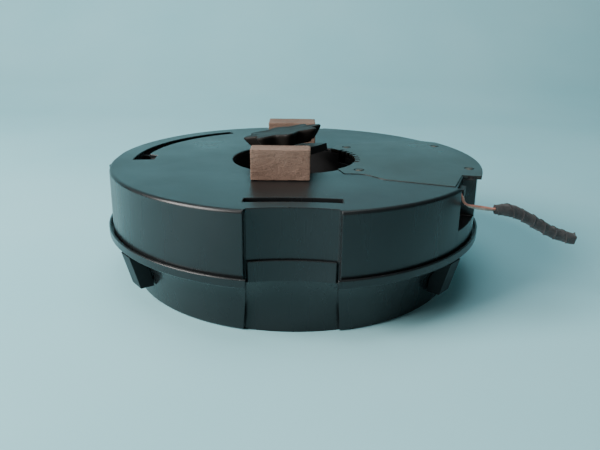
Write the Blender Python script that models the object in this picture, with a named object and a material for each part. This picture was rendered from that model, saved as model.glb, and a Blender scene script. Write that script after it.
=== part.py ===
"""Spare wheel subwoofer: a round two-shell enclosure that bolts down inside a spare wheel.

Metres, +Z up.  The drum's axis is Z, its base stands on z = 0 and its front notch faces -Y.
"""
import math

import bmesh
import bpy
from mathutils import Matrix, Vector

# ---- driving dimensions ----
HEIGHT = 0.1056
WALL = 0.003
GAP = 0.0004                 # clearance between touching pieces
RIM_R = 0.175                # lip of the lower shell
RIM_Z = (0.0466, 0.0544)
LIP = 0.002
UPPER_R = 0.1707
UPPER_Z = 0.0502
LOWER_R = 0.152
LOWER_KNEE = (0.156, 0.029)  # radius and height where the lower wall flares
LOWER_NECK = (0.164, 0.044)
WELL_R = 0.0585              # open well round the hold-down bolt
WELL_FLOOR_Z = 0.062
TUBE_R = (0.0200, 0.0225)
SHELL_SIDES = 96
ROUND_SIDES = 32

NOTCH_HALF = (0.0336, 0.0403)    # inner and outer half widths of the front notch
NOTCH_BACK_Y = 0.158
PANEL_TOP_Z = 0.0655
PANEL_TOP_HALF = 0.0326
SCOOP_R = 0.143
SLOT_X = (-0.0370, 0.0375)
SLOT_Y = (-0.1445, -0.1335)
PORT_R = (0.141, 0.152)
PORT_ARC = (120.0, 186.0)
PORT_BOTTOM_Z = 0.040
COVER_R = 0.1745
COVER_SCREWS = ((0.054, 0.052), (0.058, -0.046), (0.1485, 0.063), (0.159, -0.036))
EXIT_Z = 0.070                   # floor of the wire exit recess

DRIVER_XY = (0.1062, 0.0)
DRIVER_R = 0.0405
BAY_FLOOR_Z = 0.030

PIVOT_Z = 0.060                  # centre of the swivel ball
LEAN_LEFT = math.radians(9.3)    # the bolt leans towards -X and +Y
LEAN_BACK = math.radians(3.6)
BALL_R = 0.0125
BOLT_R = 0.004
KNOB_R = 0.038
KNOB_SCALLOP = 0.0085
KNOB_PHASE = math.radians(12.0)
KNOB_LOBES = 8
KNOB_SIDES = 80
KNOB_Z = (0.0597, 0.0725)        # along the bolt axis, measured from the pivot
PLATE_Z = (0.0476, 0.0543)
PLATE_CORNER = 0.0400
PLATE_LEFT = 0.0300
BOLT_TIP = -0.0592

FOAM_FRONT = ((-0.036, -0.087), (0.014, -0.068), 0.132)
FOAM_REAR = ((-0.028, 0.064), (0.022, 0.094), 0.1285)
LUG_ANGLES = (-142.5, -40.0, 40.0, 142.5)
LUG_HALF = 0.0085
LUG_LOW_Z, LUG_TOP_Z = 0.0165, 0.0462
POST_R = 0.110
SEAL_SPAN = 73.0
POST_ANGLES = (53.1, 99.4, 151.9, 206.9, 256.9, 308.3)
TOOTH_FIRST, TOOTH_PITCH, TOOTH_COUNT = 37.0, 7.2, 8

CORD_R = 0.0009
TAPE_R = 0.0053
WIRE_RED_ROUTE = ((0.1364, -0.0950, 0.0999), (0.1365, -0.0972, 0.0994), (0.1372, -0.0992, 0.0969),
                  (0.1384, -0.1004, 0.0935), (0.1420, -0.1012, 0.0913), (0.1490, -0.1012, 0.0905),
                  (0.1570, -0.1006, 0.0893), (0.1640, -0.1002, 0.0881))
WIRE_GREY_ROUTE = ((0.1384, -0.0957, 0.0970), (0.1387, -0.0972, 0.0958), (0.1397, -0.0982, 0.0929),
                   (0.1424, -0.0986, 0.0902), (0.1468, -0.0985, 0.0886), (0.1520, -0.0983, 0.0876),
                   (0.1580, -0.0983, 0.0868), (0.1640, -0.0983, 0.0865))
TAPE_ROUTE = ((0.1645, -0.0992, 0.0873), (0.1690, -0.0994, 0.0874), (0.1735, -0.0996, 0.0872),
              (0.1800, -0.0998, 0.0858), (0.1870, -0.1000, 0.0832), (0.1950, -0.1000, 0.0789),
              (0.2030, -0.1000, 0.0742), (0.2110, -0.1000, 0.0702), (0.2190, -0.1000, 0.0668),
              (0.2260, -0.1000, 0.0645), (0.2330, -0.1000, 0.0626))


# ---- materials and small helpers ----
def material(name, colour, roughness, metallic=0.0):
    found = bpy.data.materials.get(name)
    if found:
        return found
    made = bpy.data.materials.new(name)
    made.use_nodes = True
    shader = made.node_tree.nodes["Principled BSDF"]
    shader.inputs["Base Color"].default_value = (*colour, 1.0)
    shader.inputs["Roughness"].default_value = roughness
    shader.inputs["Metallic"].default_value = metallic
    return made


PLASTIC = ("black_plastic", (0.020, 0.022, 0.024), 0.42)
DARK_PLASTIC = ("dark_plastic", (0.014, 0.014, 0.015), 0.55)
FOAM = ("foam", (0.20, 0.165, 0.14), 0.95)
RUBBER = ("rubber", (0.018, 0.018, 0.018), 0.8)
STEEL = ("zinc_steel", (0.55, 0.56, 0.57), 0.3, 1.0)
BLACK_STEEL = ("black_steel", (0.03, 0.03, 0.032), 0.4, 0.8)
FERRITE = ("ferrite", (0.05, 0.05, 0.052), 0.7)
COPPER = ("copper", (0.72, 0.36, 0.2), 0.3, 1.0)
PAPER = ("paper_cone", (0.03, 0.03, 0.03), 0.9)
WADDING = ("wadding", (0.75, 0.75, 0.72), 1.0)
CLOTH_TAPE = ("cloth_tape", (0.015, 0.015, 0.016), 0.9)
RED_WIRE = ("red_wire", (0.62, 0.16, 0.14), 0.5)
GREY_WIRE = ("grey_wire", (0.55, 0.53, 0.50), 0.5)
SPIDER_CLOTH = ("spider_cloth", (0.55, 0.38, 0.14), 0.9)


def from_bmesh(name, bm, look):
    bmesh.ops.recalc_face_normals(bm, faces=bm.faces)
    mesh = bpy.data.meshes.new(name)
    bm.to_mesh(mesh)
    bm.free()
    mesh.shade_smooth()
    mesh.set_sharp_from_angle(angle=math.radians(32))
    mesh.materials.append(material(*look))
    piece = bpy.data.objects.new(name, mesh)
    bpy.context.scene.collection.objects.link(piece)
    return piece


def turned(name, profile, look=PLASTIC, sides=ROUND_SIDES, at=(0.0, 0.0), start=0.0):
    """A closed (radius, height) outline turned once round a vertical axis."""
    bm = bmesh.new()
    rings = []
    for radius, height in profile:
        if radius < 1e-6:
            rings.append([bm.verts.new((at[0], at[1], height))] * sides)
            continue
        ring = []
        for step in range(sides):
            angle = start + 2 * math.pi * step / sides
            x = at[0] + radius * math.cos(angle)
            y = at[1] + radius * math.sin(angle)
            ring.append(bm.verts.new((x, y, height)))
        rings.append(ring)
    for lower, upper in zip(rings, rings[1:] + rings[:1]):
        for step in range(sides):
            after = (step + 1) % sides
            corners = [lower[step], lower[after], upper[after], upper[step]]
            unique = [v for i, v in enumerate(corners) if v not in corners[:i]]
            if len(unique) > 2:
                bm.faces.new(unique)
    return from_bmesh(name, bm, look)


def disc(name, radius, low, high, look, **options):
    return turned(name, [(0, low), (radius, low), (radius, high), (0, high)], look, **options)


def ring(name, inner, outer, low, high, look, **options):
    outline = [(inner, low), (outer, low), (outer, high), (inner, high)]
    return turned(name, outline, look, **options)


def prism(name, outline, low, high, look=PLASTIC):
    """A flat outline raised from one height to another."""
    bm = bmesh.new()
    base = [bm.verts.new((x, y, low)) for x, y in outline]
    top = [bm.verts.new((x, y, high)) for x, y in outline]
    bm.faces.new(base[::-1])
    bm.faces.new(top)
    for i in range(len(base)):
        j = (i + 1) % len(base)
        bm.faces.new((base[i], base[j], top[j], top[i]))
    return from_bmesh(name, bm, look)


def block(name, low, high, look=PLASTIC):
    outline = [(low[0], low[1]), (high[0], low[1]), (high[0], high[1]), (low[0], high[1])]
    return prism(name, outline, low[2], high[2], look)


def polar(radius, degrees):
    angle = math.radians(degrees)
    return (radius * math.cos(angle), radius * math.sin(angle))


def arc(radius, start, end, steps, centre=(0.0, 0.0)):
    points = []
    for i in range(steps + 1):
        x, y = polar(radius, start + (end - start) * i / steps)
        points.append((centre[0] + x, centre[1] + y))
    return points


def grown(outline, distance):
    """The outline moved outward (or inward, when negative) by a distance; it runs anticlockwise."""
    result = []
    count = len(outline)
    for i, point in enumerate(outline):
        here = Vector(point)
        before = (here - Vector(outline[i - 1])).normalized()
        after = (Vector(outline[(i + 1) % count]) - here).normalized()
        normal_a = Vector((before.y, -before.x))
        normal_b = Vector((after.y, -after.x))
        middle = (normal_a + normal_b).normalized()
        reach = distance / max(0.5, middle.dot(normal_a))
        result.append(tuple(here + middle * reach))
    return result


def combine(target, tool, operation):
    modifier = target.modifiers.new(tool.name, "BOOLEAN")
    modifier.operation = operation
    modifier.solver = "EXACT"
    modifier.object = tool
    tool.hide_render = True
    tool.display_type = "WIRE"


def cut(target, *tools):
    for tool in tools:
        combine(target, tool, "DIFFERENCE")


def add(target, *tools):
    for tool in tools:
        combine(target, tool, "UNION")


def screw(name, x, y, head_low, head_r, head_h, shank_r, length, look=STEEL, up=True):
    """A pan head screw; its head is above its shank, or below it when up is False."""
    sign = 1 if up else -1
    outline = [(0, -length), (shank_r, -length), (shank_r, 0), (head_r, 0),
               (head_r, 0.6 * head_h), (0.7 * head_r, head_h), (0, head_h)]
    outline = [(radius, head_low + sign * height) for radius, height in outline]
    return turned(name, outline if up else outline[::-1], look, sides=12, at=(x, y))


def tube(name, route, radius, look, resolution=2):
    """A solid round cord along a smooth curve through the route's points."""
    points = smooth_route(route, 2.5 * 2 * radius)
    curve = bpy.data.curves.new(name, "CURVE")
    curve.dimensions = "3D"
    curve.bevel_depth = radius
    curve.bevel_resolution = resolution
    curve.use_fill_caps = True
    spline = curve.splines.new("POLY")
    spline.points.add(len(points) - 1)
    for spot, point in zip(spline.points, points):
        spot.co = (*point, 1.0)
    curve.materials.append(material(*look))
    piece = bpy.data.objects.new(name, curve)
    bpy.context.scene.collection.objects.link(piece)
    return piece


def smooth_route(route, spacing):
    """Points about a spacing apart on a Catmull-Rom curve through the route."""
    knots = [Vector(p) for p in route]
    knots = [2 * knots[0] - knots[1]] + knots + [2 * knots[-1] - knots[-2]]
    points = []
    for a, b, c, d in zip(knots, knots[1:], knots[2:], knots[3:]):
        steps = max(1, round((c - b).length / spacing))
        for i in range(steps):
            t = i / steps
            point = 0.5 * (2 * b + (c - a) * t + (2 * a - 5 * b + 4 * c - d) * t * t
                           + (3 * b - a - 3 * c + d) * t * t * t)
            points.append(point)
    points.append(knots[-2])
    return points


# ---- shared outlines ----
def scoop(half, steps=8, forward=0.0):
    """Points from -half to +half on the concave back of the notch (it bows away from the rim)."""
    points = []
    for i in range(steps + 1):
        x = -half + 2 * half * i / steps
        y = -NOTCH_BACK_Y - (SCOOP_R - math.sqrt(SCOOP_R ** 2 - x * x)) - forward
        points.append((x, y))
    return points


def turn_half(outline):
    return [(-x, -y) for x, y in outline]


def notch_outline(extra=0.0):
    """The notch seen from above: its scooped back and its sides, open past the rim."""
    back = [(x, y + extra) for x, y in scoop(NOTCH_HALF[0] + extra)]
    outer = NOTCH_HALF[1] + extra
    return [(-outer - 0.0012, -0.182), (outer + 0.0012, -0.182)] + back[::-1]


def cover_outline():
    """The cover over the driver bay: well edge, S-bend to the wire exit, outer rim, rear edge."""
    well = arc(WELL_R, 50.0, -48.0, 20)
    front = [(0.0440, -0.0600), (0.0560, -0.0600), (0.0640, -0.0635), (0.0710, -0.0720),
             (0.0780, -0.0790), (0.1310, -0.0985), (0.1460, -0.0610)]
    rim = arc(COVER_R, -21.5, 28.3, 12)
    rear = [(0.1360, 0.0920), (0.0900, 0.0810), (0.0520, 0.0680), (0.0440, 0.0600)]
    return well + front + rim + rear


def bay_outline(inset):
    """The driver bay's tub: a sector between the well and the outer wall."""
    inner = arc(0.0620 + inset, 34.0, -34.0, 10)
    outer = arc(0.1500 - inset, -21.0, 21.0, 8)
    corner_low = polar(0.1250 - inset, -33.0 + math.degrees(inset / 0.13))
    corner_high = polar(0.1300 - inset, 33.0 - math.degrees(inset / 0.13))
    return inner + [corner_low] + outer + [corner_high]


def port_outline(extra):
    """The crescent port slot, wider at its front end."""
    low, high = PORT_R[0] - extra, PORT_R[1] + extra
    lean = math.degrees(extra / 0.146)
    outer = arc(high, PORT_ARC[0] - lean, PORT_ARC[1] + lean, 18)
    step = arc(low - 0.009, PORT_ARC[1] + lean, PORT_ARC[1] - 8.0 - lean, 3)
    inner = arc(low, PORT_ARC[1] - 9.5 - lean, PORT_ARC[0] - lean, 16)
    return outer + step + inner


# ---- shells ----
def upper_shell():
    top, under = HEIGHT, HEIGHT - WALL
    fillet = [(UPPER_R - WALL * (1 - math.cos(math.radians(a))),
               top - WALL * (1 - math.sin(math.radians(a)))) for a in (0, 30, 60, 90)]
    edge = [(WELL_R + 0.002 * (1 - math.sin(math.radians(a))),
             top - 0.002 * (1 - math.cos(math.radians(a)))) for a in (0, 45, 90)]
    profile = [(UPPER_R + 0.0006, UPPER_Z)] + fillet + edge
    profile += [(WELL_R, under), (UPPER_R - WALL, under), (UPPER_R - WALL, UPPER_Z)]
    shell = turned("upper_shell", profile, sides=SHELL_SIDES)

    for side, turn in (("front", list), ("rear", turn_half)):
        walls = grown(notch_outline(), WALL)
        limit = UPPER_R - 0.0012
        walls = [p if math.hypot(*p) < limit else held_inside(p, limit) for p in walls]
        add(shell, prism("notch_walls_" + side, turn(walls), UPPER_Z, top - 0.0012))
    slot = rounded_slot(0.0)
    add(shell, prism("slot_pocket", grown(slot, 0.0025), 0.0915, top - 0.001))
    add(shell, block("flat_backing", (-UPPER_R + 0.0015, -0.029, 0.060),
                     (-0.1640, 0.023, top - 0.002)))
    walls = arc(UPPER_R - 0.0015, -40.5, -19.5, 6) + [(0.1465, -0.0585), (0.1298, -0.1015)]
    add(shell, prism("exit_walls", walls, EXIT_Z - 0.0025, top - 0.001))
    add(shell, prism("cover_ledge", trimmed_ledge(), under - 0.003, under + 0.0005))

    for side, turn in (("front", list), ("rear", turn_half)):
        cut(shell, prism("notch_" + side, turn(notch_outline()), 0.030, 0.130))
    cut(shell, prism("slot_cut", slot, 0.094, 0.130))
    cut(shell, block("flat_cut", (-0.190, -0.026, 0.0605), (-0.1683, 0.020, 0.130)))
    cut(shell, prism("port_cut", port_outline(0.0), 0.090, 0.130))
    cut(shell, prism("cover_seat", grown(cover_outline(), 0.0005), under, 0.130))
    cut(shell, prism("bay_cut", bay_outline(0.0035), 0.064, 0.130))
    cut(shell, prism("exit_cut", exit_outline(), EXIT_Z, 0.130))
    for index, (x, y) in enumerate(COVER_SCREWS):
        cut(shell, disc("boss_hole_%d" % index, 0.0019, 0.090, 0.120, PLASTIC, sides=12, at=(x, y)))
    return shell


def well_cup():
    """The open well in the drum's middle, with the tube that carries the bolt to the base."""
    rim = HEIGHT - WALL - GAP
    profile = [(WELL_R, rim), (WELL_R, WELL_FLOOR_Z), (0.024, WELL_FLOOR_Z),
               (TUBE_R[0], WELL_FLOOR_Z - 0.004), (TUBE_R[0], 0.004), (TUBE_R[1], 0.004),
               (TUBE_R[1], WELL_FLOOR_Z - 0.008), (0.0265, WELL_FLOOR_Z - WALL),
               (WELL_R + WALL, WELL_FLOOR_Z - WALL), (WELL_R + WALL, rim)]
    cup = turned("well_cup", profile, sides=64)
    first = TOOTH_FIRST + 3.0
    last = TOOTH_FIRST - TOOTH_PITCH * (TOOTH_COUNT - 1) - 3.0
    relief = arc(0.0700, last, first, 10) + arc(0.0450, first, last, 10)
    cut(cup, prism("comb_relief", relief, 0.0930, 0.1100))


def held_inside(point, limit):
    """A point moved along Y until it lies inside a circle."""
    x, y = point
    return (x, math.copysign(math.sqrt(limit ** 2 - x * x), y))


def rounded_slot(bow):
    """The finger slot: straight behind the notch, its long sides bowed like the scoop."""
    low, high = SLOT_Y
    steps = 6
    front = []
    rear = []
    for i in range(steps + 1):
        x = SLOT_X[0] + (SLOT_X[1] - SLOT_X[0]) * i / steps
        sag = 0.0025 * (x / SLOT_X[1]) ** 2 + bow
        front.append((x, low - sag))
        rear.append((x, high - sag))
    return front + rear[::-1]


def exit_outline():
    """The recess where the wires leave, open to the side and the top."""
    return [(0.1315, -0.1020), (0.1480, -0.1150), (0.1850, -0.1100), (0.1850, -0.0690),
            (0.1625, -0.0650), (0.1470, -0.0615)]


def trimmed_ledge():
    """The ledge under the cover, kept inside the outer wall."""
    limit = UPPER_R - 0.0015
    ledge = []
    for point in grown(cover_outline(), 0.0030):
        radius = math.hypot(*point)
        scale = limit / radius if radius > limit else 1.0
        clear = WELL_R + WALL + GAP
        scale = clear / radius if radius < clear else scale
        ledge.append((point[0] * scale, point[1] * scale))
    return ledge


def lower_shell():
    knee_r, knee_z = LOWER_KNEE
    neck_r, neck_z = LOWER_NECK
    seat_z = UPPER_Z - GAP
    profile = [(0.0234, 0), (0.0960, 0), (0.1240, 0), (LOWER_R - 0.0015, 0),
               (LOWER_R, 0.0015), (knee_r, knee_z),
               (neck_r, neck_z), (neck_r + 0.0015, RIM_Z[0]), (RIM_R - 0.0012, RIM_Z[0]),
               (RIM_R, RIM_Z[0] + 0.0012), (RIM_R, RIM_Z[1] - 0.0006), (RIM_R - 0.0006, RIM_Z[1]),
               (RIM_R - LIP, RIM_Z[1]), (RIM_R - LIP, seat_z), (0.1610, seat_z),
               (0.1610, neck_z), (knee_r - WALL, knee_z + 0.001), (LOWER_R - WALL, WALL),
               (0.1240, WALL), (0.0960, WALL), (0.0264, WALL), (0.0264, 0.022), (0.0234, 0.022)]
    shell = turned("lower_shell", profile, sides=SHELL_SIDES)
    for index, (x, y) in enumerate(post_places()):
        cut(shell, turned("foot_hole_%d" % index, [(0, -0.001), (0.0042, -0.001), (0.0042, 0.0019),
                          (0.0020, 0.0019), (0.0020, 0.006), (0, 0.006)], sides=12, at=(x, y)))
    seat = seat_z - 0.0006
    wide_z = (0.0002, 0.014, 0.023, 0.031, 0.038, 0.044, seat)
    wide = [(z, panel_half(z) + 0.0031, 0.0036) for z in wide_z]
    narrow = [(z, PANEL_TOP_HALF, 0.0017) for z in (seat + 0.0004, PANEL_TOP_Z)]
    mouth_z = (-0.001, 0.013, 0.022, 0.030, 0.037, 0.043, 0.060)
    mouth = [(z, panel_half(z), 0.0019) for z in mouth_z]
    for side, turn in (("front", list), ("rear", turn_half)):
        cut(shell, panel("panel_mouth_" + side, turn, mouth, 0.040))
        add(shell, panel("panel_" + side, turn, wide + narrow, 0.0))
    return shell


def post_places():
    return [polar(POST_R, angle) for angle in POST_ANGLES]


def panel_front(x, z):
    """Depth of the panel in the notch: round like the base below, scooped like the notch above."""
    t = min(1.0, max(0.0, (z - 0.004) / (UPPER_Z - 0.0055))) ** 2.6
    round_y = math.sqrt((LOWER_R - 0.003) ** 2 - x * x)
    scoop_y = 0.1602 + SCOOP_R - math.sqrt(SCOOP_R ** 2 - x * x)
    return -(round_y * (1 - t) + scoop_y * t)


def panel_half(z):
    return 0.038 - 0.0055 * min(1.0, max(0.0, z / PANEL_TOP_Z))


def panel(name, turn, levels, forward):
    """A slab that follows the notch panel; each level gives its height, half width and depth."""
    steps = 10
    bm = bmesh.new()
    face, rear = [], []
    for z, half, depth in levels:
        for sheet, offset in ((face, -forward), (rear, depth)):
            line = []
            for i in range(steps + 1):
                x = -half + 2 * half * i / steps
                place = turn([(x, panel_front(x, z) + offset)])[0]
                line.append(bm.verts.new((*place, z)))
            sheet.append(line)
    last = len(levels) - 1
    for r in range(last):
        for i in range(steps):
            bm.faces.new((face[r][i], face[r][i + 1], face[r + 1][i + 1], face[r + 1][i]))
            bm.faces.new((rear[r][i], rear[r + 1][i], rear[r + 1][i + 1], rear[r][i + 1]))
        for i in (0, steps):
            bm.faces.new((face[r][i], face[r + 1][i], rear[r + 1][i], rear[r][i]))
    for i in range(steps):
        for r in (0, last):
            bm.faces.new((face[r][i], face[r][i + 1], rear[r][i + 1], rear[r][i]))
    return from_bmesh(name, bm, PLASTIC)


def rim_lugs():
    """Wedges under the rim that steady the drum in the wheel."""
    for name, angle in zip(("front_left", "front_right", "rear_right", "rear_left"), LUG_ANGLES):
        bm = bmesh.new()
        half = LUG_HALF
        section = [(0.1745, LUG_TOP_Z), (0.1665, LUG_LOW_Z), (0.1548, LUG_LOW_Z),
                   (0.1566, LOWER_KNEE[1]), (0.1646, LOWER_NECK[1]), (0.1662, LUG_TOP_Z)]
        ends = [[bm.verts.new((r, side, z)) for r, z in section] for side in (-half, half)]
        bm.faces.new(ends[0])
        bm.faces.new(ends[1][::-1])
        for i in range(len(section)):
            j = (i + 1) % len(section)
            bm.faces.new((ends[0][i], ends[1][i], ends[1][j], ends[0][j]))
        lug = from_bmesh("rim_lug_" + name, bm, PLASTIC)
        lug.data.transform(Matrix.Rotation(math.radians(angle), 4, "Z"))


def shell_seals():
    """Two sealing strips on the lower shell's seat, one each side between the notches."""
    for side, middle in (("right", 0.0), ("left", 180.0)):
        outer = arc(0.1668, middle - SEAL_SPAN, middle + SEAL_SPAN, 36)
        inner = arc(0.1638, middle + SEAL_SPAN, middle - SEAL_SPAN, 36)
        prism("shell_seal_" + side, outer + inner, UPPER_Z, UPPER_Z + 0.002, RUBBER)


def shell_screws():
    for index, (x, y) in enumerate(post_places()):
        screw("shell_screw_%d" % (index + 1), x, y, 0.0018, 0.0036, 0.0016, 0.0016, 0.034, up=False)
        ring("screw_pillar_%d" % (index + 1), 0.0020, 0.0050, WALL + GAP, HEIGHT - WALL - GAP,
             PLASTIC, sides=16, at=(x, y))


# ---- cover and connector ----
def cover():
    top = HEIGHT + 0.0004
    plate = prism("bay_cover", cover_outline(), HEIGHT - WALL + GAP, top)
    for index in range(TOOTH_COUNT):
        angle = TOOTH_FIRST - TOOTH_PITCH * index
        inner = WELL_R - 0.002
        slot = block("comb_slot_%d" % index, (inner, -0.0016, 0.090),
                     (WELL_R + 0.0044, 0.0016, 0.120))
        slot.data.transform(Matrix.Rotation(math.radians(angle), 4, "Z"))
        cut(plate, slot)
    for index, (x, y) in enumerate(COVER_SCREWS):
        outline = [(0, 0.090), (0.0021, 0.090), (0.0021, top - 0.0014), (0.0046, top - 0.0014),
                   (0.0046, 0.120), (0, 0.120)]
        cut(plate, turned("screw_seat_%d" % index, outline, sides=16, at=(x, y)))
    for index, (x, y) in enumerate(COVER_SCREWS):
        screw("cover_screw_%d" % (index + 1), x, y, top - 0.0014 + GAP, 0.0038, 0.0016, 0.0014, 0.0085)


def connector():
    outline = [(0.1354, -0.0935), (0.1394, -0.0950), (0.1446, -0.0815), (0.1406, -0.0800)]
    housing = prism("connector_housing", outline, 0.0942, HEIGHT - WALL - GAP, DARK_PLASTIC)
    for index, (t, z) in enumerate(((0.30, 0.0999), (0.70, 0.0970))):
        x = outline[0][0] + (outline[1][0] - outline[0][0]) * t
        y = outline[0][1] + (outline[1][1] - outline[0][1]) * t
        cut(housing, block("connector_hole_%d" % index, (x - 0.0011, y - 0.004, z - 0.0011),
                           (x + 0.0011, y + 0.0030, z + 0.0011)))


def cord():
    tube("wire_red", WIRE_RED_ROUTE, CORD_R, RED_WIRE)
    tube("wire_grey", WIRE_GREY_ROUTE, CORD_R, GREY_WIRE)
    tube("wire_tape", TAPE_ROUTE, TAPE_R, CLOTH_TAPE)


# ---- port, foam and driver ----
def port_duct():
    duct = prism("port_duct", port_outline(0.0030), PORT_BOTTOM_Z, HEIGHT - WALL - GAP, DARK_PLASTIC)
    cut(duct, prism("port_bore", port_outline(0.0004), 0.020, 0.130))
    rib = prism("port_rib", arc(0.1540, 169.0, 171.0, 2) + arc(0.1390, 171.0, 169.0, 2),
                PORT_BOTTOM_Z + 0.002, HEIGHT - WALL - 0.002)
    add(duct, rib)


def foam_pads():
    for name, ((x0, y0), (x1, y1), top) in (("front", FOAM_FRONT), ("rear", FOAM_REAR)):
        block("foam_pad_" + name, (x0, y0, HEIGHT + 0.0003), (x1, y1, top), FOAM)


def driver_bay():
    floor = BAY_FLOOR_Z
    bay = prism("driver_bay", bay_outline(0.0), floor, 0.0992, DARK_PLASTIC)
    cut(bay, prism("bay_hollow", bay_outline(0.0025), floor + 0.003, 0.120))
    cut(bay, disc("driver_hole", DRIVER_R - 0.009, 0.010, 0.060, PLASTIC, at=DRIVER_XY))
    for index, (x, y) in enumerate(driver_screw_places()):
        cut(bay, disc("driver_screw_hole_%d" % index, 0.0018, 0.010, 0.060, PLASTIC, sides=12, at=(x, y)))


def driver_screw_places():
    places = []
    for angle in (45.0, 135.0, 225.0, 315.0):
        x, y = polar(DRIVER_R - 0.0035, angle)
        places.append((DRIVER_XY[0] + x, DRIVER_XY[1] + y))
    return places


def driver():
    """A cone driver firing down through the bay's floor, its magnet up."""
    seat = BAY_FLOOR_Z + 0.003 + 0.0003
    at = DRIVER_XY
    edge = DRIVER_R
    gasket = ring("driver_gasket", edge - 0.0085, edge, seat, seat + 0.001, RUBBER, at=at)
    base = seat + 0.0013
    frame = turned("driver_frame", [
        (edge - 0.0085, base), (edge, base), (edge, base + 0.0018), (edge - 0.0065, base + 0.0018),
        (0.0265, base + 0.0245), (0.0265, base + 0.0272), (0.0165, base + 0.0272),
        (0.0165, base + 0.0252), (0.0250, base + 0.0252), (0.0250, base + 0.0230),
        (edge - 0.0085, base + 0.0016)], BLACK_STEEL, at=at)
    for index, angle in enumerate((0.0, 90.0, 180.0, 270.0)):
        window = block("frame_window_%d" % index, (0.0200, -0.0125, base + 0.0045),
                       (0.0400, 0.0125, base + 0.0205))
        turn = Matrix.Rotation(math.radians(angle), 4, "Z")
        window.data.transform(Matrix.Translation((at[0], at[1], 0.0)) @ turn)
        cut(frame, window)
    for index, (x, y) in enumerate(driver_screw_places()):
        for target in (frame, gasket):
            cut(target, disc("hole_%d_%s" % (index, target.name), 0.0020, seat - 0.002, base + 0.006,
                             PLASTIC, sides=12, at=(x, y)))
        screw("driver_screw_%d" % (index + 1), x, y, base + 0.0018 + GAP, 0.0030, 0.0018, 0.0014, 0.0085)
    motor = base + 0.0272 + GAP
    ring("motor_front_plate", 0.0146, 0.0300, motor, motor + 0.004, STEEL, at=at)
    ring("magnet", 0.0180, 0.0340, motor + 0.0044, motor + 0.0176, FERRITE, at=at)
    turned("pole_yoke", [(0, motor), (0.0124, motor), (0.0124, motor + 0.0180),
                         (0.0310, motor + 0.0180), (0.0310, motor + 0.0225), (0, motor + 0.0225)],
           STEEL, at=at)
    moving_cone(at, base, motor)


def moving_cone(at, base, motor):
    neck = base + 0.0150
    ring("coil_former", 0.0128, 0.0131, neck - 0.0010, motor + 0.0070, PAPER, at=at)
    ring("voice_coil", 0.0134, 0.0141, motor - 0.0015, motor + 0.0065, COPPER, at=at, sides=24)
    mouth = edge_of_cone()
    turned("cone", [(mouth, base + 0.0012), (mouth, base + 0.0022), (0.0150, neck + 0.0006),
                    (0.0136, neck + 0.0006), (0.0136, neck - 0.0010), (mouth - 0.0008, base + 0.0012)],
           PAPER, at=at)
    turned("dust_cap", [(0, neck - 0.0040), (0.0070, neck - 0.0036), (0.0124, neck - 0.0020),
                        (0.0124, neck - 0.0013), (0, neck - 0.0013)], PAPER, at=at, sides=24)
    roll = [(mouth + 0.0003, base + 0.0012), (mouth + 0.0014, base + 0.0002),
            (mouth + 0.0024, base + 0.0012), (mouth + 0.0024, base + 0.0018),
            (mouth + 0.0003, base + 0.0018)]
    turned("surround", roll, RUBBER, at=at)
    ring("spider", 0.0145, 0.0235, motor - 0.0056, motor - 0.0048, SPIDER_CLOTH, at=at)


def edge_of_cone():
    return DRIVER_R - 0.0116


def wadding():
    """A mat of damping wool in the rear half of the drum."""
    outer = arc(0.1480, 196.0, 250.0, 12)
    inner = arc(0.0680, 250.0, 196.0, 8)
    mat = prism("wadding", outer + inner, WALL + 0.0005, 0.030, WADDING)
    for index, (x, y) in enumerate(post_places()):
        if index in (3, 4):
            cut(mat, disc("post_clear_%d" % index, 0.0060, 0.0, 0.050, PLASTIC, sides=12, at=(x, y)))


# ---- hold-down ----
def tilted(piece):
    """Lay a piece modelled on the Z axis, with its heights from the pivot, along the bolt."""
    piece.location = (0.0, 0.0, PIVOT_Z)
    piece.rotation_euler = (-LEAN_BACK, -LEAN_LEFT, 0.0)
    return piece


def hold_down():
    swivel = []
    for i in range(9):
        angle = math.radians(-62 + 124 * i / 8)
        swivel.append((BALL_R * math.cos(angle), BALL_R * math.sin(angle)))
    bore = BOLT_R + 0.0005
    half = BALL_R * math.sin(math.radians(62))
    tilted(turned("swivel_ball", [(bore, -half)] + swivel + [(bore, half)], DARK_PLASTIC))
    for name, low, high in (("lower", -0.0105, -0.0002), ("upper", 0.0002, 0.0105)):
        seat_ring(name, low, high)
    side = PLATE_CORNER - PLATE_LEFT
    outline = [(PLATE_CORNER, 0.0), (0.0, PLATE_CORNER), (-PLATE_LEFT, side),
               (-PLATE_LEFT, -side), (0.0, -PLATE_CORNER)]
    load_plate = prism("load_plate", outline, *PLATE_Z, BLACK_STEEL)
    cut(load_plate, tilted(disc("plate_bore", BOLT_R + 0.0005, 0.030, 0.070, PLASTIC)))
    tilted(load_plate)
    tilted(knob())
    bolt = turned("hold_down_bolt", [(0, BOLT_TIP), (BOLT_R - 0.001, BOLT_TIP),
                                     (BOLT_R, BOLT_TIP + 0.002), (BOLT_R, KNOB_Z[0] - GAP),
                                     (0, KNOB_Z[0] - GAP)], STEEL, sides=20)
    tilted(bolt)
    tilted(ring("thrust_washer", BOLT_R + 0.0005, 0.0100, PLATE_Z[1] + GAP, KNOB_Z[0] - GAP,
                STEEL, sides=24))
    tilted(ring("retaining_clip", BOLT_R + 0.0004, 0.0078, PLATE_Z[0] - 0.0018, PLATE_Z[0] - GAP,
                STEEL, sides=20))


def seat_ring(name, low, high):
    """Half of the socket that holds the ball in the well's floor."""
    clear = BALL_R + 0.0006
    points = []
    for i in range(6):
        z = low + (high - low) * i / 5
        points.append((math.sqrt(clear ** 2 - z * z), PIVOT_Z + z))
    turned("socket_half_" + name, points + [(TUBE_R[0] - GAP, PIVOT_Z + high),
                                            (TUBE_R[0] - GAP, PIVOT_Z + low)], DARK_PLASTIC)


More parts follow.
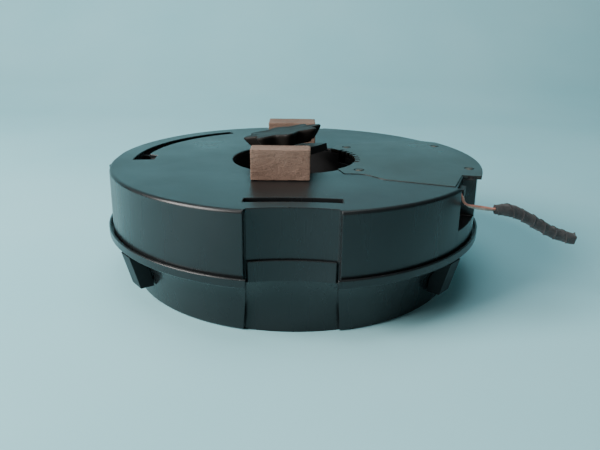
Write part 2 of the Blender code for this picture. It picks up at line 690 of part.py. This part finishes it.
def knob():
    """A star knob with wide scallops that narrows downward."""
    low, high = KNOB_Z
    bm = bmesh.new()
    layers = ((low, 0.78), (low + 0.005, 0.89), (high - 0.0020, 1.0), (high, 0.975))
    rings = []
    for height, scale in layers:
        loop = []
        for i in range(KNOB_SIDES):
            angle = 2 * math.pi * i / KNOB_SIDES
            crest = abs(math.cos(0.5 * KNOB_LOBES * (angle - KNOB_PHASE))) ** 2.2
            radius = scale * (KNOB_R - KNOB_SCALLOP * (1.0 - crest))
            loop.append(bm.verts.new((radius * math.cos(angle), radius * math.sin(angle), height)))
        rings.append(loop)
    for lower, upper in zip(rings, rings[1:]):
        for i in range(KNOB_SIDES):
            j = (i + 1) % KNOB_SIDES
            bm.faces.new((lower[i], lower[j], upper[j], upper[i]))
    bm.faces.new(rings[0][::-1])
    bm.faces.new(rings[-1])
    return from_bmesh("hold_down_knob", bm, PLASTIC)


for old in list(bpy.data.objects):
    bpy.data.objects.remove(old, do_unlink=True)

upper_shell()
well_cup()
lower_shell()
rim_lugs()
shell_seals()
shell_screws()
cover()
connector()
cord()
port_duct()
foam_pads()
driver_bay()
driver()
wadding()
hold_down()
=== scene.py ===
"""Looks for the spare wheel subwoofer: materials, foam, wires, tape, knob and studio.

Metres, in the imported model's frame: +Z up, base on z = 0, front notch towards -Y.
"""
import math

import bmesh
import bpy
from mathutils import Matrix, Vector, noise


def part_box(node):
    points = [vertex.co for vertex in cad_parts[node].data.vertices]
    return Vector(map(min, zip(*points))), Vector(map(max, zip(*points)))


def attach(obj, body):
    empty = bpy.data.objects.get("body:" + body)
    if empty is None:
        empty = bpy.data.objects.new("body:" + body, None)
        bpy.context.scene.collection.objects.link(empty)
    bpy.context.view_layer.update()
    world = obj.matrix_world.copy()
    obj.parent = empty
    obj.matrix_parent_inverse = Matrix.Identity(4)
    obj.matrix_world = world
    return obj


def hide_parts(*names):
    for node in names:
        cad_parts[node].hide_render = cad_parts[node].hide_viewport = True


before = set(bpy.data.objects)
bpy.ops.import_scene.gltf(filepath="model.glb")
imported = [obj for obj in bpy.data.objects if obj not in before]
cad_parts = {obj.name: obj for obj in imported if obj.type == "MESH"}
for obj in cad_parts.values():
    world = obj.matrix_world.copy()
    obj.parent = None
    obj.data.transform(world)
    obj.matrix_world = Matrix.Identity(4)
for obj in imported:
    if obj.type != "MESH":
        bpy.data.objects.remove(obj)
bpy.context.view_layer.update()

# ---- places shared with the CAD ----
PIVOT_Z = 0.060
LEAN_LEFT = math.radians(9.3)
LEAN_BACK = math.radians(3.6)
KNOB_R = 0.038
KNOB_SCALLOP = 0.0085
KNOB_PHASE = math.radians(12.0)
KNOB_LOBES = 8
KNOB_Z = (0.0597, 0.0725)
WIRE_R = 0.0009
TAPE_R = 0.0053
WIRE_RED_ROUTE = ((0.1364, -0.0950, 0.0999), (0.1365, -0.0972, 0.0994), (0.1372, -0.0992, 0.0969),
                  (0.1384, -0.1004, 0.0935), (0.1420, -0.1012, 0.0913), (0.1490, -0.1012, 0.0905),
                  (0.1570, -0.1006, 0.0893), (0.1640, -0.1002, 0.0881))
WIRE_GREY_ROUTE = ((0.1384, -0.0957, 0.0970), (0.1387, -0.0972, 0.0958), (0.1397, -0.0982, 0.0929),
                   (0.1424, -0.0986, 0.0902), (0.1468, -0.0985, 0.0886), (0.1520, -0.0983, 0.0876),
                   (0.1580, -0.0983, 0.0868), (0.1640, -0.0983, 0.0865))
TAPE_ROUTE = ((0.1645, -0.0992, 0.0873), (0.1690, -0.0994, 0.0874), (0.1735, -0.0996, 0.0872),
              (0.1800, -0.0998, 0.0858), (0.1870, -0.1000, 0.0832), (0.1950, -0.1000, 0.0789),
              (0.2030, -0.1000, 0.0742), (0.2110, -0.1000, 0.0702), (0.2190, -0.1000, 0.0668),
              (0.2260, -0.1000, 0.0645), (0.2330, -0.1000, 0.0626))

# ---- shading ----
FACET_ANGLE = 34.0           # degrees; sharper edges stay sharp

# ---- camera ----
CAMERA_AT = (0.0029, -0.5665, 0.2345)
CAMERA_YAW = math.radians(0.35)
CAMERA_DOWN = math.radians(19.19)
CAMERA_ROLL = math.radians(0.785)


def camera():
    """A 36 mm lens held at arm's length, looking a little down on the front notch."""
    forward = Vector((math.sin(CAMERA_YAW) * math.cos(CAMERA_DOWN),
                      math.cos(CAMERA_YAW) * math.cos(CAMERA_DOWN), -math.sin(CAMERA_DOWN)))
    level = Vector((math.cos(CAMERA_YAW), -math.sin(CAMERA_YAW), 0.0))
    upright = level.cross(forward)
    right = level * math.cos(CAMERA_ROLL) + upright * math.sin(CAMERA_ROLL)
    up = upright * math.cos(CAMERA_ROLL) - level * math.sin(CAMERA_ROLL)
    data = bpy.data.cameras.new("camera")
    data.sensor_width = 36.0
    data.lens = 36.0
    data.clip_start = 0.01
    eye = bpy.data.objects.new("camera", data)
    turn = Matrix((right, up, -forward)).transposed().to_4x4()
    eye.matrix_world = Matrix.Translation(CAMERA_AT) @ turn
    bpy.context.scene.collection.objects.link(eye)
    bpy.context.scene.camera = eye


camera()


# ---- node helpers ----
class Look:
    """A Principled material whose nodes are added by name and wired by plain calls."""

    def __init__(self, name, **shader_values):
        self.material = bpy.data.materials.new(name)
        self.material.use_nodes = True
        self.tree = self.material.node_tree
        self.shader = self.tree.nodes["Principled BSDF"]
        for socket, value in shader_values.items():
            self.shader.inputs[socket.replace("_", " ")].default_value = value
        self.coords = self.node("ShaderNodeTexCoord").outputs["Object"]

    def node(self, kind, **settings):
        made = self.tree.nodes.new(kind)
        for key, value in settings.items():
            setattr(made, key, value)
        return made

    def link(self, source, target):
        self.tree.links.new(source, target)

    def scaled(self, scale, source=None):
        mapping = self.node("ShaderNodeMapping")
        mapping.inputs["Scale"].default_value = scale
        self.link(source or self.coords, mapping.inputs["Vector"])
        return mapping.outputs["Vector"]

    def noise(self, scale, detail=3.0, rough=0.5, vector=None, distortion=0.0):
        made = self.node("ShaderNodeTexNoise")
        made.inputs["Scale"].default_value = scale
        made.inputs["Detail"].default_value = detail
        made.inputs["Roughness"].default_value = rough
        made.inputs["Distortion"].default_value = distortion
        self.link(vector or self.coords, made.inputs["Vector"])
        return made.outputs["Fac"]

    def cells(self, scale, feature="F1", vector=None):
        made = self.node("ShaderNodeTexVoronoi", feature=feature)
        made.inputs["Scale"].default_value = scale
        self.link(vector or self.coords, made.inputs["Vector"])
        return made.outputs["Distance"]

    def ramp(self, source, stops):
        """Colour ramp; stops are (position, colour or grey level)."""
        made = self.node("ShaderNodeValToRGB")
        elements = made.color_ramp.elements
        while len(elements) < len(stops):
            elements.new(0.5)
        for element, (position, colour) in zip(elements, stops):
            element.position = position
            grey = isinstance(colour, (int, float))
            element.color = (colour, colour, colour, 1) if grey else (*colour, 1)
        self.link(source, made.inputs["Fac"])
        return made.outputs["Color"]

    def math(self, operation, a, b=None):
        made = self.node("ShaderNodeMath", operation=operation)
        for socket, value in zip(made.inputs, (a, b)):
            if value is None:
                continue
            if isinstance(value, (int, float)):
                socket.default_value = value
            else:
                self.link(value, socket)
        return made.outputs["Value"]

    def mix(self, factor, a, b, blend="MIX"):
        made = self.node("ShaderNodeMix", data_type="RGBA", blend_type=blend)
        for socket, value in ((made.inputs[0], factor), (made.inputs[6], a), (made.inputs[7], b)):
            if isinstance(value, (int, float)):
                socket.default_value = value
            elif isinstance(value, tuple):
                socket.default_value = (*value, 1)
            else:
                self.link(value, socket)
        return made.outputs[2]

    def facing_up(self):
        """1 on faces that look up, 0 on upright ones."""
        geometry = self.node("ShaderNodeNewGeometry")
        parts = self.node("ShaderNodeSeparateXYZ")
        self.link(geometry.outputs["Normal"], parts.inputs["Vector"])
        return self.ramp(parts.outputs["Z"], ((0.35, 0.0), (0.9, 1.0)))

    def colour(self, source):
        self.link(source, self.shader.inputs["Base Color"])

    def roughness(self, source):
        self.link(source, self.shader.inputs["Roughness"])

    def bump(self, *layers, rounding=0.0):
        """Each layer is (height, strength, distance in metres)."""
        normal = None
        if rounding:
            bevel = self.node("ShaderNodeBevel", samples=6)
            bevel.inputs["Radius"].default_value = rounding
            normal = bevel.outputs["Normal"]
        for height, strength, distance in layers:
            made = self.node("ShaderNodeBump")
            made.inputs["Strength"].default_value = strength
            made.inputs["Distance"].default_value = distance
            self.link(height, made.inputs["Height"])
            if normal:
                self.link(normal, made.inputs["Normal"])
            normal = made.outputs["Normal"]
        self.link(normal, self.shader.inputs["Normal"])


# ---- materials ----
def shell_plastic(name, tint=(0.008, 0.0095, 0.0105), dusty=1.0):
    """Moulded black plastic: fine grain and dust on top, smoother on its upright walls."""
    look = Look(name, Specular_IOR_Level=0.42)
    up = look.facing_up()
    cloudy = look.noise(9.0, 4.0, 0.6)
    film = look.ramp(cloudy, ((0.38, 0.0), (0.72, 1.0)))
    dark = tuple(0.72 * c for c in tint)
    pale = tuple(1.9 * c + 0.008 for c in tint)
    base = look.mix(look.math("MULTIPLY", film, 0.45 * dusty), tint, pale)
    base = look.mix(look.ramp(look.noise(3.0, 2.0), ((0.35, 0.5), (0.65, 0.0))), base, dark)
    specks = look.ramp(look.cells(200.0), ((0.05, 1.0), (0.10, 0.0)))
    sparse = look.ramp(look.noise(26.0, 2.0), ((0.57, 0.0), (0.64, 1.0)))
    dust = look.math("MULTIPLY", look.math("MULTIPLY", specks, sparse), up)
    base = look.mix(look.math("MULTIPLY", dust, 0.55 * dusty), base, (0.34, 0.36, 0.34))
    look.colour(base)
    grain = look.noise(1900.0, 2.0)
    streaks = look.noise(40.0, 4.0, 0.6, look.scaled((1.0, 1.0, 0.12)))
    top_rough = look.ramp(cloudy, ((0.3, 0.27), (0.7, 0.40)))
    side_rough = look.ramp(streaks, ((0.3, 0.22), (0.7, 0.34)))
    look.roughness(look.mix(up, side_rough, top_rough))
    scratches = look.ramp(look.noise(70.0, 2.0, 0.5, look.scaled((6.0, 0.5, 6.0)), 1.5),
                          ((0.62, 0.0), (0.66, 1.0)))
    look.bump((look.noise(5.0, 2.0), 0.25, 0.0010), (grain, 0.22, 0.00012), (scratches, 0.10, 0.0001),
              rounding=0.0013)
    return look.material


def plain_plastic(name, tint, low, high, grain_scale=900.0, gloss=0.5):
    """Dull plastic or rubber; low and high bound its roughness."""
    look = Look(name, Specular_IOR_Level=gloss)
    cloudy = look.noise(22.0, 4.0, 0.6)
    look.colour(look.ramp(cloudy, ((0.3, tuple(0.75 * c for c in tint)),
                                   (0.7, tuple(1.5 * c for c in tint)))))
    look.roughness(look.ramp(cloudy, ((0.3, low), (0.7, high))))
    look.bump((look.noise(grain_scale, 2.0), 0.25, 0.00015), rounding=0.0006)
    return look.material


def metal(name, tint, low, high, painted=False):
    """Brushed or painted steel with a few worn patches."""
    look = Look(name, Metallic=0.35 if painted else 1.0)
    brushed = look.noise(60.0, 5.0, 0.7, look.scaled((1.0, 12.0, 1.0)))
    worn = look.ramp(look.noise(35.0, 4.0), ((0.62, 0.0), (0.70, 1.0)))
    base = look.ramp(brushed, ((0.3, tuple(0.8 * c for c in tint)), (0.7, tint)))
    edge = (0.16, 0.12, 0.09) if painted else (0.42, 0.36, 0.28)
    look.colour(look.mix(look.math("MULTIPLY", worn, 0.35), base, edge))
    look.roughness(look.ramp(brushed, ((0.3, low), (0.7, high))))
    look.bump((brushed, 0.15, 0.0001), rounding=0.0003)
    return look.material


def foam_skin():
    """Grey-brown foam whose cut faces show fine pores and pressed wrinkles, with painted shade in the
    wrinkles' creases and in a few dark pits.
    """
    look = Look("foam_skin", Specular_IOR_Level=0.25)
    wide = look.scaled((1.0, 1.0, 3.2))
    wrinkles = look.noise(230.0, 4.0, 0.6, wide, 1.2)
    pores = look.cells(900.0)
    patches = look.noise(30.0, 4.0, 0.6)
    base = look.ramp(patches, ((0.3, (0.174, 0.110, 0.083)), (0.5, (0.223, 0.146, 0.112)),
                               (0.75, (0.280, 0.190, 0.148))))
    # Painted shade: the low parts of the wrinkles are darkened towards a deep brown.
    crease_shade = look.ramp(wrinkles, ((0.34, 1.0), (0.46, 0.0)))
    base = look.mix(look.math("MULTIPLY", crease_shade, 0.45), base, (0.100, 0.070, 0.056))
    # Painted shade: sparse near-black spots stand for the shade inside the foam's pits.
    pit_shade = look.ramp(look.cells(330.0), ((0.10, 1.0), (0.20, 0.0)))
    rare = look.ramp(look.noise(60.0, 2.0), ((0.60, 0.0), (0.68, 1.0)))
    base = look.mix(look.math("MULTIPLY", look.math("MULTIPLY", pit_shade, rare), 0.8), base,
                    (0.030, 0.022, 0.020))
    look.colour(base)
    look.roughness(look.ramp(patches, ((0.3, 0.82), (0.7, 0.95))))
    look.bump((wrinkles, 0.85, 0.0009), (pores, 0.30, 0.0002))
    return look.material


def tape_cloth():
    """Black woven harness tape with pale lint and dusty creases."""
    look = Look("tape_cloth", Sheen_Weight=0.25, Sheen_Roughness=0.6, Specular_IOR_Level=0.25)
    weave = look.node("ShaderNodeTexChecker")
    weave.inputs["Scale"].default_value = 2600.0
    look.link(look.coords, weave.inputs["Vector"])
    patches = look.noise(150.0, 4.0, 0.7)
    base = look.ramp(patches, ((0.3, (0.010, 0.010, 0.011)), (0.55, (0.022, 0.022, 0.024)),
                               (0.8, (0.052, 0.050, 0.046))))
    lint = look.ramp(look.noise(700.0, 2.0, 0.6, look.scaled((1.0, 4.0, 2.0))), ((0.66, 0.0), (0.74, 1.0)))
    base = look.mix(look.math("MULTIPLY", lint, 0.35), base, (0.16, 0.15, 0.13))
    look.colour(base)
    look.roughness(look.ramp(patches, ((0.3, 0.78), (0.7, 0.95))))
    look.bump((patches, 0.5, 0.0005), (weave.outputs["Fac"], 0.3, 0.0001))
    return look.material


def wire_skin(name, tint, grime):
    """Faded wire insulation with dirt in patches."""
    look = Look(name, Specular_IOR_Level=0.45)
    dirt = look.noise(320.0, 4.0, 0.6)
    look.colour(look.ramp(dirt, ((0.35, grime), (0.55, tint))))
    look.roughness(look.ramp(dirt, ((0.3, 0.65), (0.7, 0.4))))
    look.bump((dirt, 0.2, 0.0001))
    return look.material


def fibre(name, dark, pale, scale):
    """Paper, wool or ferrite: a mottled matte surface."""
    look = Look(name, Specular_IOR_Level=0.2)
    fibres = look.noise(scale, 6.0, 0.7, distortion=1.0)
    look.colour(look.ramp(fibres, ((0.3, dark), (0.7, pale))))
    look.roughness(look.ramp(fibres, ((0.3, 0.8), (0.7, 0.98))))
    look.bump((fibres, 0.5, 0.0004))
    return look.material


SHELL = shell_plastic("shell_black_plastic")
COVER = shell_plastic("cover_black_plastic", (0.014, 0.013, 0.010), 0.8)
KNOB_PLASTIC = plain_plastic("knob_black_plastic", (0.012, 0.010, 0.009), 0.45, 0.65, gloss=0.22)
# The lugs are black plastic like the shell; their darker tint is painted shade for their shaded faces.
LUG_PLASTIC_SHADED = plain_plastic("lug_plastic_painted_shade", (0.006, 0.007, 0.008), 0.40, 0.55, gloss=0.25)
DARK = plain_plastic("dark_plastic", (0.012, 0.012, 0.013), 0.45, 0.62)
SOCKET_PLASTIC = plain_plastic("socket_plastic", (0.020, 0.020, 0.022), 0.35, 0.5)
RUBBER = plain_plastic("seal_rubber", (0.018, 0.018, 0.018), 0.7, 0.9, 600.0)
ZINC = metal("zinc_steel", (0.56, 0.55, 0.52), 0.25, 0.42)
SCREW_STEEL = metal("dull_screw_steel", (0.15, 0.135, 0.115), 0.40, 0.60)
BLACK_STEEL = metal("black_steel", (0.020, 0.020, 0.021), 0.35, 0.55, painted=True)
COPPER = metal("copper_winding", (0.70, 0.35, 0.2), 0.25, 0.4)
FOAM = foam_skin()
TAPE = tape_cloth()
RED = wire_skin("red_insulation", (0.62, 0.25, 0.19), (0.34, 0.12, 0.08))
GREY = wire_skin("grey_insulation", (0.55, 0.44, 0.39), (0.28, 0.21, 0.17))
PAPER = fibre("pressed_paper", (0.012, 0.012, 0.012), (0.045, 0.043, 0.040), 300.0)
WOOL = fibre("polyester_wool", (0.45, 0.45, 0.43), (0.80, 0.80, 0.77), 120.0)
FERRITE = fibre("ferrite", (0.025, 0.025, 0.026), (0.07, 0.07, 0.072), 500.0)
SPIDER = fibre("spider_cloth", (0.26, 0.15, 0.06), (0.5, 0.32, 0.15), 700.0)

NODE_LOOKS = {
    "upper_shell": SHELL, "lower_shell": SHELL, "well_cup": DARK, "screw_pillar": SHELL,
    "bay_cover": COVER, "rim_lug": LUG_PLASTIC_SHADED, "connector_housing": DARK, "port_duct": DARK,
    "driver_bay": DARK, "swivel_ball": SOCKET_PLASTIC,
    "socket_half": SOCKET_PLASTIC, "load_plate": BLACK_STEEL, "driver_frame": BLACK_STEEL,
    "shell_seal": RUBBER, "driver_gasket": RUBBER, "surround": RUBBER, "shell_screw": ZINC,
    "cover_screw": SCREW_STEEL, "driver_screw": ZINC, "motor_front_plate": ZINC, "pole_yoke": ZINC,
    "hold_down_bolt": ZINC, "thrust_washer": ZINC, "retaining_clip": ZINC, "voice_coil": COPPER,
    "magnet": FERRITE, "coil_former": PAPER, "cone": PAPER, "dust_cap": PAPER, "wadding": WOOL,
    "spider": SPIDER,
}


def dress_cad_nodes():
    """Give every CAD node the look whose key starts its name."""
    for name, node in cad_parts.items():
        for prefix, look in NODE_LOOKS.items():
            if not name.startswith(prefix):
                continue
            node.data.materials.clear()
            node.data.materials.append(look)
            shade_curves(node)


def shade_curves(node):
    """Round walls shade smoothly and flat faces stay flat, without moving a vertex."""
    for layer in ("custom_normal", "sharp_edge", "sharp_face"):
        if layer in node.data.attributes:
            node.data.attributes.remove(node.data.attributes[layer])
    node.data.shade_smooth()
    weld = node.modifiers.new("weld", "WELD")
    weld.merge_threshold = 2e-6
    split = node.modifiers.new("split", "EDGE_SPLIT")
    split.split_angle = math.radians(FACET_ANGLE)
    weighted = node.modifiers.new("weighted", "WEIGHTED_NORMAL")
    weighted.keep_sharp = True
    weighted.weight = 80


def smooth_by_angle(piece, degrees=FACET_ANGLE):
    piece.data.shade_smooth()
    piece.data.set_sharp_from_angle(angle=math.radians(degrees))


# ---- mesh helpers ----
def finished(name, bm, look, body, smooth=FACET_ANGLE):
    """Turn a bmesh into a shaded piece that rides on a body."""
    bmesh.ops.recalc_face_normals(bm, faces=bm.faces)
    mesh = bpy.data.meshes.new(name)
    bm.to_mesh(mesh)
    bm.free()
    mesh.materials.append(look)
    piece = bpy.data.objects.new(name, mesh)
    bpy.context.scene.collection.objects.link(piece)
    smooth_by_angle(piece, smooth)
    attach(piece, body)
    return piece


def skin(bm, rings, closed_ends=True):
    """Join rings of points into one tube of quads, with its ends filled."""
    loops = [[bm.verts.new(p) for p in ring] for ring in rings]
    count = len(loops[0])
    for lower, upper in zip(loops, loops[1:]):
        for i in range(count):
            j = (i + 1) % count
            bm.faces.new((lower[i], lower[j], upper[j], upper[i]))
    if closed_ends:
        bm.faces.new(loops[0][::-1])
        bm.faces.new(loops[-1])
    return loops


def smooth_route(route, spacing):
    """Points about a spacing apart on a Catmull-Rom curve through the route."""
    knots = [Vector(p) for p in route]
    knots = [2 * knots[0] - knots[1]] + knots + [2 * knots[-1] - knots[-2]]
    points = []
    for a, b, c, d in zip(knots, knots[1:], knots[2:], knots[3:]):
        steps = max(1, round((c - b).length / spacing))
        for i in range(steps):
            t = i / steps
            point = 0.5 * (2 * b + (c - a) * t + (2 * a - 5 * b + 4 * c - d) * t * t
                           + (3 * b - a - 3 * c + d) * t * t * t)
            points.append(point)
    points.append(knots[-2])
    return points


def length_of(points):
    return sum((Vector(b) - Vector(a)).length for a, b in zip(points, points[1:]))


# ---- foam pads ----
def foam_pad(node, seed):
    """A cut foam block: edges slightly rounded, faces a little hollow, skin wrinkled."""
    low, high = (Vector(corner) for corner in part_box(node))
    size = high - low
    middle = (low + high) / 2
    cells = [max(8, round(edge / 0.0011)) for edge in size]
    bm = bmesh.new()
    seen = {}

    def vertex(i, j, k):
        key = (i, j, k)
        if key not in seen:
            spot = Vector((i / cells[0], j / cells[1], k / cells[2])) * 2 - Vector((1, 1, 1))
            seen[key] = bm.verts.new(foam_point(spot, size, middle, seed))
        return seen[key]

    for axis in range(3):
        a, b = [n for n in range(3) if n != axis]
        for side in (0, cells[axis]):
            for u in range(cells[a]):
                for v in range(cells[b]):
                    corners = []
                    for du, dv in ((0, 0), (1, 0), (1, 1), (0, 1)):
                        index = [0, 0, 0]
                        index[axis] = side
                        index[a] = u + du
                        index[b] = v + dv
                        corners.append(vertex(*index))
                    bm.faces.new(corners)
    pad = finished(node + "_foam", bm, FOAM, "enclosure", 60.0)
    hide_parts(node)
    return pad


def foam_point(spot, size, middle, seed):
    """A point of the block's surface; spot runs from -1 to 1 along each edge."""
    half = size / 2
    point = Vector([spot[n] * half[n] for n in range(3)])
    rounding = 0.0009
    inner = Vector([max(-(half[n] - rounding), min(half[n] - rounding, point[n])) for n in range(3)])
    away = point - inner
    if away.length > 1e-9:
        normal = away.normalized()
        point = inner + normal * rounding
    else:
        normal = Vector((0, 0, 1))
    wave = Vector((point.x * 160, point.y * 160, point.z * 480)) + Vector((seed * 7.0, 0, 0))
    crease = noise.noise(wave) * 0.5 + noise.noise(wave * 2.3) * 0.3
    dent = noise.noise(point * 45 + Vector((seed, seed, 0)))
    upright = 1.0 - abs(normal.z)
    depth = 0.00016 * (crease - 0.6) + 0.0003 * (dent - 0.5)
    depth += 0.00022 * (crease - 0.6) * upright
    floor = -half.z + 0.0002
    result = middle + point + normal * min(0.0, depth)
    result.z = max(result.z, middle.z + floor)
    return result


# ---- knob ----
def knob():
    """Star hand knob: scalloped rim with a rolled edge and a slightly dished top."""
    sides = 240
    low, high = KNOB_Z
    layers = [(low + 0.0002, 0.30), (low + 0.0002, 0.74), (low + 0.0004, 0.785), (low + 0.0016, 0.81),
              (low + 0.0050, 0.885), (high - 0.0034, 0.972), (high - 0.0018, 0.994),
              (high - 0.0007, 0.986), (high - 0.0002, 0.955), (high - 0.0003, 0.90),
              (high - 0.0009, 0.80), (high - 0.0010, 0.62), (high - 0.0010, 0.42)]
    rings = []
    for height, scale in layers:
        flat = min(1.0, max(0.0, (scale - 0.42) / 0.45))
        ring = []
        for i in range(sides):
            angle = 2 * math.pi * i / sides
            crest = abs(math.cos(0.5 * KNOB_LOBES * (angle - KNOB_PHASE))) ** 2.2
            radius = scale * (KNOB_R - KNOB_SCALLOP * (1.0 - crest) * flat) - 0.0001
            ring.append(Vector((radius * math.cos(angle), radius * math.sin(angle), height)))
        rings.append(ring)
    hub = ((high - 0.0012, 0.30), (high - 0.0012, 0.10))
    for height, scale in hub:
        rings.append([Vector((scale * KNOB_R * math.cos(2 * math.pi * i / sides),
                              scale * KNOB_R * math.sin(2 * math.pi * i / sides), height))
                      for i in range(sides)])
    bm = bmesh.new()
    skin(bm, rings)
    lean = Matrix.Rotation(-LEAN_LEFT, 4, "Y") @ Matrix.Rotation(-LEAN_BACK, 4, "X")
    bm.transform(Matrix.Translation((0, 0, PIVOT_Z)) @ lean)
    piece = finished("star_knob", bm, KNOB_PLASTIC, "hold_down_screw", 50.0)
    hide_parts("hold_down_knob")


# ---- cover screws ----
def cover_screw_heads():
    """Pan heads with a cross recess, standing in the cover's counterbores."""
    for index in range(1, 5):
        node = "cover_screw_%d" % index
        low, high = (Vector(corner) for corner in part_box(node))
        centre = (low + high) / 2
        head_low = high.z - 0.0016
        bm = bmesh.new()
        outline = [(0.0014, low.z), (0.0014, head_low), (0.0037, head_low), (0.0037, head_low + 0.0006),
                   (0.0033, head_low + 0.0011), (0.0024, high.z - 0.0002), (0.0013, high.z)]
        turn = 0.5 * index
        rings = []
        for radius, height in outline:
            rings.append([Vector((centre.x + radius * math.cos(turn + 2 * math.pi * i / 48),
                                  centre.y + radius * math.sin(turn + 2 * math.pi * i / 48), height))
                          for i in range(48)])
        cross = []
        for i in range(48):
            angle = 2 * math.pi * i / 48
            arm = 0.0011 if i % 12 in (0, 1, 11) else 0.0004
            cross.append(Vector((centre.x + arm * math.cos(turn + angle),
                                 centre.y + arm * math.sin(turn + angle), high.z)))
        rings.append(cross)
        rings.append([Vector((p.x, p.y, high.z - 0.0009)) for p in cross])
        skin(bm, rings)
        head = finished("cover_screw_head_%d" % index, bm, SCREW_STEEL, "enclosure")
        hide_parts(node)


# ---- wires and tape ----
def wire(name, node, route, inside, look):
    """One insulated wire: its own route, then on through the tape to the cut end."""
    inner = [Vector(p) + Vector(inside) for p in TAPE_ROUTE[1:]]
    inner[-1] = Vector(TAPE_ROUTE[-1]) + Vector(inside) * 0.6 - Vector((0.0012, 0, -0.0004))
    points = smooth_route(list(route) + inner, 0.0018)
    curve = bpy.data.curves.new(name, "CURVE")
    curve.dimensions = "3D"
    curve.bevel_depth = WIRE_R
    curve.bevel_resolution = 4
    curve.use_fill_caps = True
    spline = curve.splines.new("POLY")
    spline.points.add(len(points) - 1)
    for spot, point in zip(spline.points, points):
        spot.co = (*point, 1.0)
    curve.materials.append(look)
    piece = bpy.data.objects.new(name, curve)
    bpy.context.scene.collection.objects.link(piece)
    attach(piece, "enclosure")
    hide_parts(node)
    return piece, points


def tape_wrap():
    """Harness tape wound in a helix, its overlaps standing proud, with a ragged cut end."""
    points = smooth_route(TAPE_ROUTE, 0.00045)
    sides = 72
    pitch = 0.0105
    rings = []
    travelled = 0.0
    total = length_of(points)
    for index, point in enumerate(points):
        ahead = points[min(index + 1, len(points) - 1)]
        behind = points[max(index - 1, 0)]
        along = (ahead - behind).normalized()
        side = along.cross(Vector((0, 1, 0))).normalized()
        other = side.cross(along)
        if index:
            travelled += (point - points[index - 1]).length
        ring = []
        for i in range(sides):
            angle = 2 * math.pi * i / sides
            radius = tape_radius(travelled, angle, total, pitch)
            ring.append(point + (side * math.cos(angle) + other * math.sin(angle)) * radius)
        rings.append(ring)
    rings.insert(0, [points[0] + (p - points[0]) * 0.55 + Vector((0.0010, 0, 0)) for p in rings[0]])
    rings.append([points[-1] + (p - points[-1]) * 0.62 - Vector((0.0016, 0, -0.0006)) for p in rings[-1]])
    bm = bmesh.new()
    skin(bm, rings)
    piece = finished("tape_wrap", bm, TAPE, "enclosure", 40.0)
    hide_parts("wire_tape")
    return piece


def tape_radius(travelled, angle, total, pitch):
    turn = (travelled / pitch + angle / (2 * math.pi) + 0.35 * noise.noise((travelled * 90, 0, 0))) % 1.0
    edge = max(0.0, 1.0 - turn * 7.0)
    radius = TAPE_R * 0.84 + 0.00055 * (1.0 - turn) + 0.00045 * edge
    around = Vector((math.cos(angle) * 1.3, math.sin(angle) * 1.3, travelled * 260))
    radius += 0.00045 * noise.noise(around) + 0.00020 * noise.noise(around * 3.1)
    start = min(1.0, travelled / 0.006)
    radius *= 0.80 + 0.20 * start
    left = total - travelled
    if left < 0.004:
        radius *= 1.0 + 0.10 * (1 - left / 0.004) * math.sin(5 * angle)
    bulge = math.exp(-((travelled - 0.014) / 0.006) ** 2)
    return min(TAPE_R * 1.09, radius + 0.0004 * bulge)


def cords():
    tape = tape_wrap()
    red, red_points = wire("red_lead", "wire_red", WIRE_RED_ROUTE, (0.0, -0.0010, 0.0006), RED)
    grey, grey_points = wire("grey_lead", "wire_grey", WIRE_GREY_ROUTE, (0.0, 0.0010, -0.0006), GREY)


# ---- studio ----
def studio():
    """A pale floor that curves up into a plain backdrop."""
    floor = bmesh.new()
    rings = []
    for y, z in ((-3.0, 0.0), (0.9, 0.0), (1.25, 0.05), (1.5, 0.25), (1.6, 0.6), (1.62, 3.0)):
        rings.append([floor.verts.new((x, y, z)) for x in (-4.0, 4.0)])
    for a, b in zip(rings, rings[1:]):
        floor.faces.new((a[0], a[1], b[1], b[0]))
    mesh = bpy.data.meshes.new("studio_floor")
    floor.to_mesh(mesh)
    floor.free()
    mesh.shade_smooth()
    look = Look("studio_paper", Roughness=0.9, Specular_IOR_Level=0.1)
    look.colour(look.ramp(look.noise(3.0, 3.0), ((0.3, (0.33, 0.68, 0.75)), (0.7, (0.38, 0.72, 0.79)))))
    mesh.materials.append(look.material)
    backdrop = bpy.data.objects.new("studio_floor", mesh)
    bpy.context.scene.collection.objects.link(backdrop)


def area_light(name, at, target, size, power, tint):
    data = bpy.data.lights.new(name, "AREA")
    data.shape = "RECTANGLE"
    data.size, data.size_y = size
    data.energy = power
    data.color = tint
    lamp = bpy.data.objects.new(name, data)
    lamp.location = at
    lamp.rotation_euler = (Vector(target) - Vector(at)).to_track_quat("-Z", "Y").to_euler()
    bpy.context.scene.collection.objects.link(lamp)


def lighting():
    world = bpy.data.worlds.new("studio_world")
    world.use_nodes = True
    world.node_tree.nodes["Background"].inputs["Color"].default_value = (0.62, 0.82, 0.86, 1)
    world.node_tree.nodes["Background"].inputs["Strength"].default_value = 0.07
    bpy.context.scene.world = world
    area_light("window_left", (-1.6, -0.75, 1.0), (0, 0, 0.05), (1.1, 1.3), 80, (1.0, 0.97, 0.93))
    area_light("overhead", (-0.1, 0.1, 1.9), (0, 0, 0), (1.6, 1.2), 16, (0.93, 0.98, 1.0))
    area_light("front_fill", (0.5, -2.0, 0.7), (0, 0, 0.05), (1.4, 0.8), 2.5, (1.0, 0.93, 0.86))


dress_cad_nodes()
foam_pad("foam_pad_front", 1.0)
foam_pad("foam_pad_rear", 2.0)
knob()
cover_screw_heads()
cords()
studio()
lighting()
